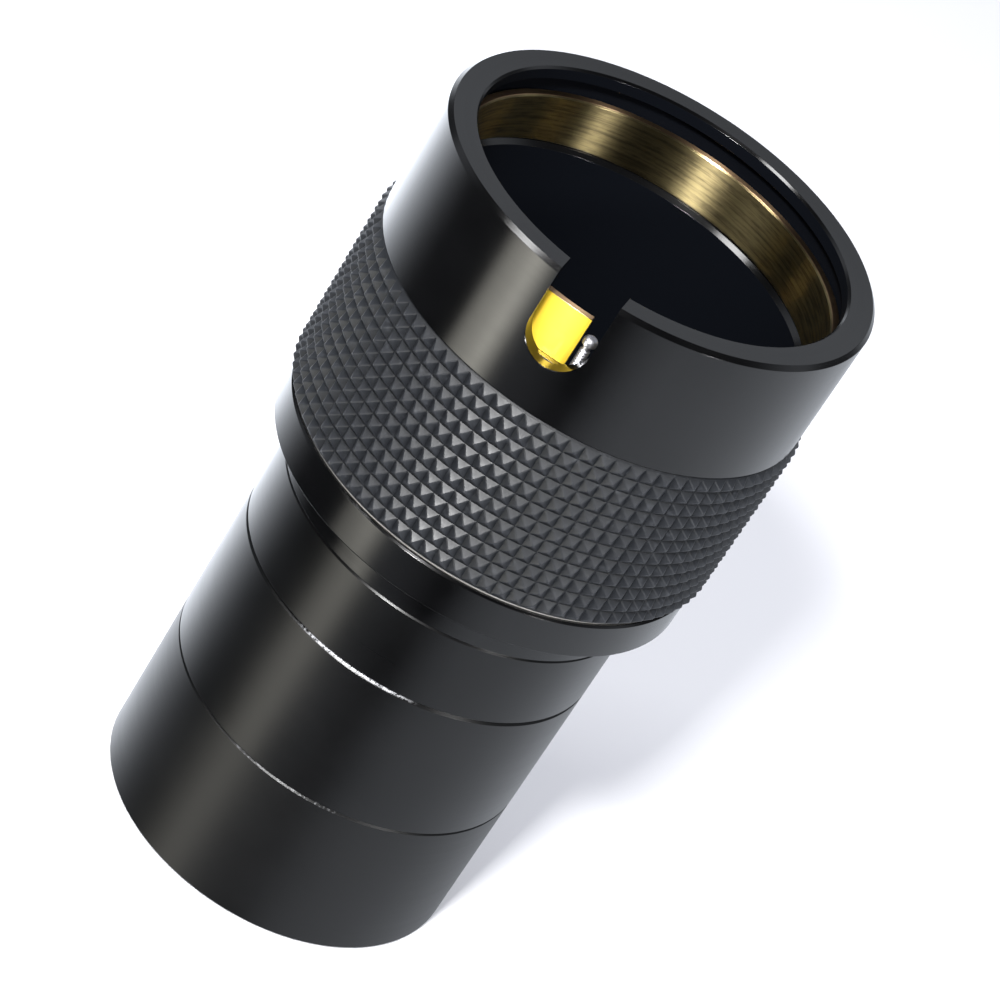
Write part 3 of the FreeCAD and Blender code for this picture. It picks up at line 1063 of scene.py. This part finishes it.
def glass_finish():
    material = bpy.data.materials.new("lens_glass")
    tree = new_finish(material)
    dust = noise(tree, object_place(tree), scale=260.0, detail=5.0)
    shade = blend_colour(tree, dust, colour(0.97, 1.0, 0.98), colour(0.93, 0.97, 0.95))
    finish_with(tree, {"Base Color": shade,
                       "Roughness": smooth_step(tree, dust, 0.6, 0.8) * 0.03, "Transmission Weight": 1.0,
                       "IOR": 1.52, "Coat Weight": 0.35 + (dust - 0.5) * 0.1, "Coat Roughness": 0.03,
                       "Coat Tint": colour(0.62, 0.95, 0.72)})
    return material


glass = glass_finish()

# %% [markdown]
# Each piece is listed with its finish, the body it moves with, the CAD node it stands for and the record's
# material slot. It gets its finish and its body, and its CAD node is hidden; the slot is not read. Three CAD
# nodes have the right shape already and only take a new material.

# %% Finish, body, node and slot of every piece
WORK = [
    (barrel_body, body_black, "barrel", "main_body", "black_anodised"),
    (sleeve_shell, sleeve_black, "collar", "twist_sleeve", "black_anodised"),
    (grip_band, rubber, "collar", "rubber_grip", "grip_rubber"),
    (brass_ring, brass, "barrel", "compression_ring", "ring_brass"),
    (ring_screw, steel, "barrel", "anchor_screw", "screw_steel"),
    (glide_ring, acetal, "barrel", "glide_washer", "washer_plastic"),
    (upper_tube, upper_black, "barrel", "upper_barrel", "barrel_black"),
    (middle_tube, middle_black, "barrel", "middle_barrel", "barrel_black"),
    (lens_cell_tube, cell_black, "barrel", "lens_cell", "barrel_black"),
    (crown_glass, glass, "barrel", "crown_lens", "lens_glass"),
    (flint_glass, glass, "barrel", "flint_lens", "lens_glass"),
    (spanner_ring, inside_black, "barrel", "lens_retainer", "black_anodised"),
    (lower_stop, inside_black, "barrel", "lower_baffle", "barrel_black"),
    (upper_stop, inside_black, "barrel", "upper_baffle", "barrel_black"),
]
for piece, material, body, node, slot in WORK:
    piece.data.materials.clear()
    piece.data.materials.append(material)
    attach(piece, body)
    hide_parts(node)
line_bore(barrel_body, inside_black, barrel_bore, ledge_z - mouth_chamfer)
line_bore(sleeve_shell, inside_black, 0, rim_top)
for tube in (upper_tube, middle_tube, lens_cell_tube):
    line_bore(tube, inside_black, barrel_bore, rim_top)
for node, material in (("guide_screws", dark_steel), ("foil_spacer", foil), ("pressure_ring", seal)):
    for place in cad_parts[node].material_slots:
        place.material = material
print(len(WORK), "finished pieces and 3 CAD nodes")

# %% [markdown]
# The stage is a pale floor under plain soft light. A polished cylinder seen from above mirrors what lies
# low around it, and in a studio that is a light tent with dark flags and one narrow gap. So mirror-like
# rays pass the floor and meet a tent drawn by compass direction, while diffuse light comes from an even sky
# and the camera sees white.

# %% Floor
FLOOR_HALF = 3.0
floor_corners = [(x * FLOOR_HALF, y * FLOOR_HALF, 0) for x, y in ((-1, -1), (1, -1), (1, 1), (-1, 1))]
floor = mesh_object("floor", floor_corners, [(0, 1, 2, 3)])
floor.visible_glossy = False
floor_paint = bpy.data.materials.new("floor_paint")
floor_tree = new_finish(floor_paint)
finish_with(floor_tree, {"Base Color": colour(0.72, 0.72, 0.735), "Roughness": 0.9})
floor.data.materials.append(floor_paint)
floor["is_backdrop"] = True

# %% [markdown]
# The tent is written as pairs of a place and the light there. For the walls and the gap, the place is a
# compass direction in degrees, with 0 in front and minus to the left. For the ceiling, it is the sine of the
# elevation. The gap is a warm light between two dark flags.

# %% The light tent
CREAM = (1.0, 0.97, 0.86)
COOL = (0.93, 0.98, 1.06)
PEAK = 10.0
WALLS = [
    (-180, 3.4), (-140, 3.2), (-120, 1.7), (-104, 0.6), (-96, 0.26), (-88, 0.08), (-60, 0.08), (-45, 0.3),
    (-26, 0.42), (-8, 0.28), (0, 0.18), (7, 0.06), (13, 0.06), (24, 0.5), (32, 0.78), (44, 1.0), (90, 1.08),
    (130, 1.1), (144, 1.0), (156, 0.8), (176, 0.85), (178, 1.2), (180, 3.4),
]
GAP = [
    (-180, 0), (-56, 0), (-49, 4.1), (-42, 6.0), (-36, 9.2), (-31, 5.2), (-26, 0.6), (-20, 0), (180, 0),
]
CEILING = [(-0.2, 0.0), (0.1, 0.04), (0.38, 0.1), (0.46, 0.7), (0.58, 0.7), (0.66, 0.12), (1, 0.1)]
CEILING_LOW, CEILING_HIGH = -0.2, 1.0
GAP_FOOT = (-0.548, -0.515)
WALLS_TO_CEILING = (-0.15, 0.2)
FRONT_TO_BACK = (-0.1, 0.5)
CEILING_IN_FRONT = 0.3
CAMERA_SIDE = 3.6
SKY = 0.8


def light_ramp(tree, pairs, low, high, tint, place):
    """A colour ramp from (place, light) pairs, the places between low and high and the light up to PEAK."""
    stops = [((spot - low) / (high - low), tuple(light / PEAK * part for part in tint))
             for spot, light in pairs]
    return add(tree, "ShaderNodeValToRGB", {"stops": stops}, {0: place})


world = bpy.data.worlds.new("studio")
scene.world = world
world.use_nodes = True
tree = world.node_tree
tree.nodes.clear()
direction = add(tree, "ShaderNodeTexCoord", None, None, "Generated")
swung = add(tree, "ShaderNodeVectorRotate", {"rotation_type": "Z_AXIS"},
            {"Vector": direction, "Angle": math.radians(-CAMERA_SIDE)})
parts = add(tree, "ShaderNodeSeparateXYZ", None, {0: swung})
height = parts.output("Z")
up = (height - CEILING_LOW) / (CEILING_HIGH - CEILING_LOW)
compass = parts.maths("ARCTAN2", parts.output("X"), parts.output("Y") * -1) / (2 * math.pi) + 0.5
walls = light_ramp(tree, WALLS, -180, 180, COOL, compass)
gap = light_ramp(tree, GAP, -180, 180, CREAM, compass)
ceiling = light_ramp(tree, CEILING, CEILING_LOW, CEILING_HIGH, COOL, up)
gap_shown = smooth_step(tree, height, *GAP_FOOT)
tent = add(tree, "ShaderNodeMix", {"data_type": "RGBA", "blend_type": "ADD"},
           {0: gap_shown, 6: walls, 7: gap}, 2)
behind = smooth_step(tree, parts.output("Y"), *FRONT_TO_BACK)
ceiling_share = behind * (1 - CEILING_IN_FRONT) + CEILING_IN_FRONT
ceiling = blend_colour(tree, ceiling_share, colour(0, 0, 0), ceiling)
seen = blend_colour(tree, smooth_step(tree, height, *WALLS_TO_CEILING), tent, ceiling)
mirror = add(tree, "ShaderNodeBackground", None, {"Color": seen, "Strength": PEAK})
sky = add(tree, "ShaderNodeBackground", None, {"Color": colour(0.95, 0.98, 1.08), "Strength": SKY})
white = add(tree, "ShaderNodeBackground", None, {"Color": colour(1, 1, 1), "Strength": 1.0})
path = add(tree, "ShaderNodeLightPath")
lit = add(tree, "ShaderNodeMixShader", None, {0: path.output("Is Glossy Ray"), 1: sky, 2: mirror})
shown = add(tree, "ShaderNodeMixShader", None, {0: path.output("Is Camera Ray"), 1: lit, 2: white})
add(tree, "ShaderNodeOutputWorld", None, {"Surface": shown})

# %% [markdown]
# A soft key light stands high in front. It lights the upward faces of the rubber pyramids, and the rings
# in the brass draw it out into one narrow streak. A weaker light on the right draws the second streak, and
# a wider, weaker one high on the left puts the glint on the rim's chamfer. Angles are in degrees, lengths in
# metres and powers in watts.

# %% Lights
LIGHT_TARGET = Vector((0, 0, 0.07))


def aimed(item, place, target):
    item.location = place
    item.rotation_mode = "QUATERNION"
    item.rotation_quaternion = (target - place).to_track_quat("-Z", "Y")


def soft_light(name, azimuth, elevation, distance, size, power):
    data = bpy.data.lights.new(name, "AREA")
    data.shape = "SQUARE"
    data.size = size
    data.energy = power
    lamp = bpy.data.objects.new(name, data)
    scene.collection.objects.link(lamp)
    lamp.visible_camera = False
    around, up = math.radians(azimuth), math.radians(elevation)
    side = Vector((math.sin(around) * math.cos(up), -math.cos(around) * math.cos(up), math.sin(up)))
    aimed(lamp, LIGHT_TARGET + side * distance, LIGHT_TARGET)


soft_light("key", azimuth=-8, elevation=43, distance=0.65, size=0.08, power=7.5)
soft_light("fill", azimuth=60, elevation=26, distance=0.70, size=0.08, power=2.2)
soft_light("window", azimuth=-58, elevation=58, distance=0.70, size=0.16, power=1.6)

# %% [markdown]
# The camera stands in front and looks down into the socket through a long lens.

# %% Camera
camera_data = bpy.data.cameras.new("camera")
camera_data.lens = 143.94
camera_data.clip_start = 0.01
camera = bpy.data.objects.new("camera", camera_data)
scene.collection.objects.link(camera)
camera_place = Vector((30.318, -435.751, 329.204)) * MM
camera_aim = Vector((2.532, 0.161, 60.330)) * MM
camera_up = Vector((-0.56842, 0.40537, 0.71594))
look = (camera_aim - camera_place).normalized()
camera_right = look.cross(camera_up).normalized()
camera_up = camera_right.cross(look)
facing = Matrix((camera_right, camera_up, -look)).transposed().to_4x4()
camera.matrix_world = Matrix.Translation(camera_place) @ facing
scene.camera = camera
scene.view_settings.view_transform = "Standard"
print("camera", round((camera_aim - camera_place).length, 4), "m from its aim")

visual_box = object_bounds()
for label, box in (("cad box", cad_box), ("visual box", visual_box)):
    print(label, [[round(value, 5) for value in corner] for corner in box])
